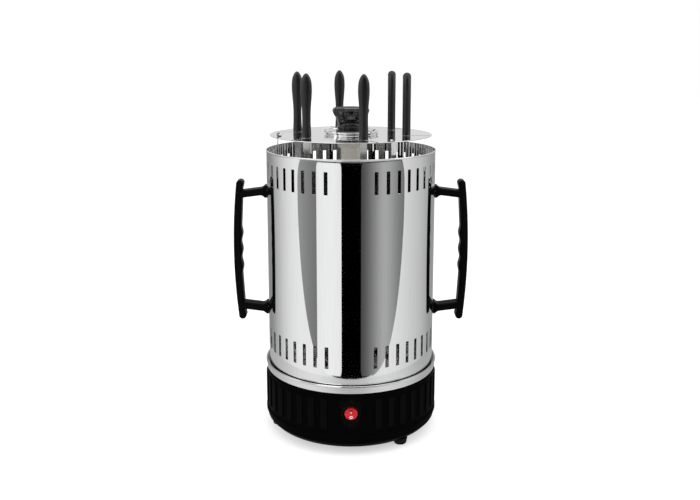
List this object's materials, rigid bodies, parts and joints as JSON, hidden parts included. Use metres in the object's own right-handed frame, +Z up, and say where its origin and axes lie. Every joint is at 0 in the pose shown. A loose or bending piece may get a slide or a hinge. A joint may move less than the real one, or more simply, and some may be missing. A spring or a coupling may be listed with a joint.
{
  "type": "vertical skewer grill",
  "caption": "Upright electric skewer grill: hanging skewers turn in geared drip cups round a central heater, inside a slotted polished tube that lifts off a round black base.",
  "frame": {"origin": "on the table, under the middle of the base", "axes": "+Z up, the switch faces -Y, the carrying handles are along X"},
  "size_m": [0.282, 0.21, 0.4298],
  "materials": {
    "polished_steel": "mirror polished",
    "black_plastic": "satin moulded phenolic",
    "zinc_steel": "zinc plated",
    "black_rubber": "matt",
    "cream_ceramic": "unglazed",
    "red_rocker": "translucent",
    "ivory_nylon": "moulded"
  },
  "bodies": {
    "base": {"base_housing": "black_plastic", "bottom_cover": "black_plastic", "foot_1": "black_rubber", "foot_2": "black_rubber", "foot_3": "black_rubber", "cover_screw_1": "zinc_steel", "cover_screw_2": "zinc_steel", "cover_screw_3": "zinc_steel", "chassis_plate": "zinc_steel", "motor_body": "zinc_steel", "switch_body": "black_plastic", "terminal_block": "ivory_nylon", "cord_gland": "black_rubber", "tray": "polished_steel", "heater_socket": "cream_ceramic", "heater_core": "zinc_steel", "heater_tube": "cream_ceramic", "heater_cap": "cream_ceramic", "top_plate": "polished_steel", "knob": "black_plastic", "knob_screw": "zinc_steel", "post_1": "polished_steel", "post_2": "polished_steel", "post_3": "polished_steel"},
    "lift_off_casing": {"casing": "polished_steel", "handle_left": "black_plastic", "handle_right": "black_plastic", "handle_screw_1": "zinc_steel", "handle_screw_2": "zinc_steel", "handle_screw_3": "zinc_steel", "handle_screw_4": "zinc_steel"},
    "drive_gear": {"drive_gear": "ivory_nylon"},
    "motor_pinion": {"motor_pinion": "zinc_steel"},
    "switch_rocker": {"switch_rocker": "red_rocker"},
    "cup_1": {"cup_gear_1": "ivory_nylon", "drip_cup_1": "polished_steel"},
    "skewer_1": {"skewer_blade_1": "polished_steel", "skewer_handle_1": "black_plastic"},
    "cup_2": {"cup_gear_2": "ivory_nylon", "drip_cup_2": "polished_steel"},
    "skewer_2": {"skewer_blade_2": "polished_steel", "skewer_handle_2": "black_plastic"},
    "cup_3": {"cup_gear_3": "ivory_nylon", "drip_cup_3": "polished_steel"},
    "skewer_3": {"skewer_blade_3": "polished_steel", "skewer_handle_3": "black_plastic"},
    "cup_4": {"cup_gear_4": "ivory_nylon", "drip_cup_4": "polished_steel"},
    "skewer_4": {"skewer_blade_4": "polished_steel", "skewer_handle_4": "black_plastic"},
    "cup_5": {"cup_gear_5": "ivory_nylon", "drip_cup_5": "polished_steel"},
    "skewer_5": {"skewer_blade_5": "polished_steel", "skewer_handle_5": "black_plastic"},
    "cup_6": {"cup_gear_6": "ivory_nylon", "drip_cup_6": "polished_steel"},
    "skewer_6": {"skewer_blade_6": "polished_steel", "skewer_handle_6": "black_plastic"}
  },
  "joints": [
    {"name": "drive_gear_spin", "type": "hinge", "parent": "base", "child": "drive_gear", "pos_m": [0, 0, 0.066], "axis": [0, 0, 1], "continuous": true},
    {"name": "motor_pinion_spin", "type": "hinge", "parent": "base", "child": "motor_pinion", "pos_m": [0.01854, 0.05706, 0.066], "axis": [0, 0, 1], "continuous": true},
    {"name": "casing_lift", "type": "slide", "parent": "base", "child": "lift_off_casing", "axis": [0, 0, 1], "range_m": [0, 0.36]},
    {"name": "switch_rocker_press", "type": "hinge", "parent": "base", "child": "switch_rocker", "pos_m": [0, -0.1015, 0.0517], "axis": [-1, 0, 0], "range_deg": [0, 20.8]},
    {"name": "cup_1_spin", "type": "hinge", "parent": "base", "child": "cup_1", "pos_m": [0.01403, -0.06602, 0.08], "axis": [0, 0, 1], "continuous": true},
    {"name": "skewer_1_lift", "type": "slide", "parent": "cup_1", "child": "skewer_1", "axis": [0, 0, 1], "range_m": [0, 0.3]},
    {"name": "cup_2_spin", "type": "hinge", "parent": "base", "child": "cup_2", "pos_m": [0.0642, -0.02086, 0.08], "axis": [0, 0, 1], "continuous": true},
    {"name": "skewer_2_lift", "type": "slide", "parent": "cup_2", "child": "skewer_2", "axis": [0, 0, 1], "range_m": [0, 0.3]},
    {"name": "cup_3_spin", "type": "hinge", "parent": "base", "child": "cup_3", "pos_m": [0.05016, 0.04517, 0.08], "axis": [0, 0, 1], "continuous": true},
    {"name": "skewer_3_lift", "type": "slide", "parent": "cup_3", "child": "skewer_3", "axis": [0, 0, 1], "range_m": [0, 0.3]},
    {"name": "cup_4_spin", "type": "hinge", "parent": "base", "child": "cup_4", "pos_m": [-0.01403, 0.06602, 0.08], "axis": [0, 0, 1], "continuous": true},
    {"name": "skewer_4_lift", "type": "slide", "parent": "cup_4", "child": "skewer_4", "axis": [0, 0, 1], "range_m": [0, 0.3]},
    {"name": "cup_5_spin", "type": "hinge", "parent": "base", "child": "cup_5", "pos_m": [-0.0642, 0.02086, 0.08], "axis": [0, 0, 1], "continuous": true},
    {"name": "skewer_5_lift", "type": "slide", "parent": "cup_5", "child": "skewer_5", "axis": [0, 0, 1], "range_m": [0, 0.3]},
    {"name": "cup_6_spin", "type": "hinge", "parent": "base", "child": "cup_6", "pos_m": [-0.05016, -0.04517, 0.08], "axis": [0, 0, 1], "continuous": true},
    {"name": "skewer_6_lift", "type": "slide", "parent": "cup_6", "child": "skewer_6", "axis": [0, 0, 1], "range_m": [0, 0.3]}
  ],
  "couplings": [
    {"joint": "motor_pinion_spin", "follows": "drive_gear_spin", "ratio": -5.4},
    {"joint": "cup_1_spin", "follows": "drive_gear_spin", "ratio": -3},
    {"joint": "cup_2_spin", "follows": "drive_gear_spin", "ratio": -3},
    {"joint": "cup_3_spin", "follows": "drive_gear_spin", "ratio": -3},
    {"joint": "cup_4_spin", "follows": "drive_gear_spin", "ratio": -3},
    {"joint": "cup_5_spin", "follows": "drive_gear_spin", "ratio": -3},
    {"joint": "cup_6_spin", "follows": "drive_gear_spin", "ratio": -3}
  ]
}
